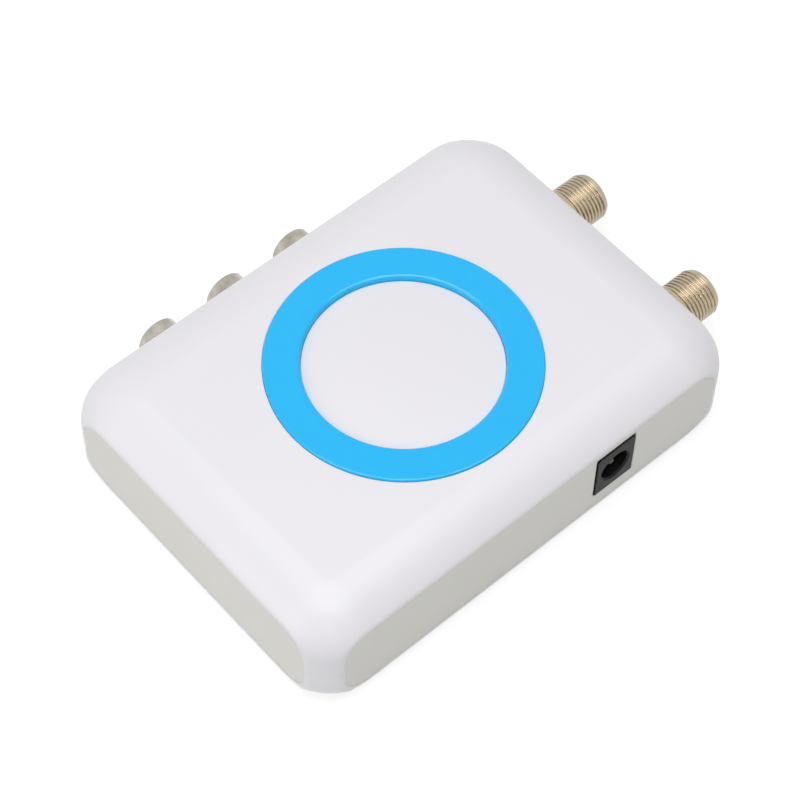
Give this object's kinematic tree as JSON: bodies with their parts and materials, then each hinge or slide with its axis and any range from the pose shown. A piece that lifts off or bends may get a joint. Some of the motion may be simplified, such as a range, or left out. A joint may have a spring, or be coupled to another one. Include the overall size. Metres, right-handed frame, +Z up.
{
  "type": "rf modulator",
  "caption": "Small white desktop box with a blue light ring; takes picture and sound leads and puts them on an aerial lead.",
  "frame": {"origin": "middle of the case's underside, without its jacks", "axes": "+X along the case to the side with the threaded aerial jacks, +Y to the long side with the three phono barrels, +Z up through the light ring"},
  "size_m": [0.1068, 0.0753, 0.0226],
  "materials": {
    "case_plastic": "satin white moulding",
    "panel_plastic": "satin white moulding",
    "ring_plastic": "clear blue acrylic",
    "board": "green solder resist",
    "diode_resin": "clear blue resin",
    "screw_steel": "zinc plated",
    "nickel": "polished nickel plate",
    "insulator": "moulded",
    "contact_brass": "gold flash",
    "black_plastic": "moulded",
    "yellow_plastic": "moulded",
    "white_plastic": "moulded",
    "red_plastic": "moulded",
    "spring_steel": "tinned",
    "tin_plate": "tinned",
    "base_plastic": "moulded",
    "chip_resin": "moulded",
    "capacitor_sleeve": "printed sleeve, left bare",
    "ferrite": "matt ferrite",
    "copper_wire": "enamelled copper"
  },
  "bodies": {
    "case": {"top_cover": "case_plastic", "bottom_cover": "case_plastic", "front_panel": "panel_plastic", "back_panel": "panel_plastic", "left_panel": "panel_plastic", "right_panel": "panel_plastic", "light_ring": "ring_plastic", "circuit_board": "board", "light_diodes": "diode_resin", "case_screws": "screw_steel", "aerial_shell_back": "nickel", "aerial_shell_front": "nickel", "aerial_insulator_back": "insulator", "aerial_insulator_front": "insulator", "aerial_contact_back": "contact_brass", "aerial_contact_front": "contact_brass", "jack_block_yellow": "black_plastic", "jack_block_white": "black_plastic", "jack_block_red": "black_plastic", "barrel_yellow": "nickel", "barrel_white": "nickel", "barrel_red": "nickel", "core_yellow": "yellow_plastic", "core_white": "white_plastic", "core_red": "red_plastic", "sleeve_yellow": "contact_brass", "sleeve_white": "contact_brass", "sleeve_red": "contact_brass", "power_housing": "black_plastic", "power_pin": "nickel", "power_spring": "spring_steel", "switch_frame": "tin_plate", "switch_base": "base_plastic", "shield_frame": "tin_plate", "shield_lid": "tin_plate", "modulator_chip": "chip_resin", "crystal": "tin_plate", "control_chip": "chip_resin", "regulator": "chip_resin", "capacitors": "capacitor_sleeve", "choke_core": "ferrite", "choke_winding": "copper_wire"},
    "knob": {"switch_knob": "black_plastic"}
  },
  "joints": [
    {"name": "channel_slide", "type": "slide", "parent": "case", "child": "knob", "axis": [1, 0, 0], "range_m": [0, 0.002]}
  ]
}
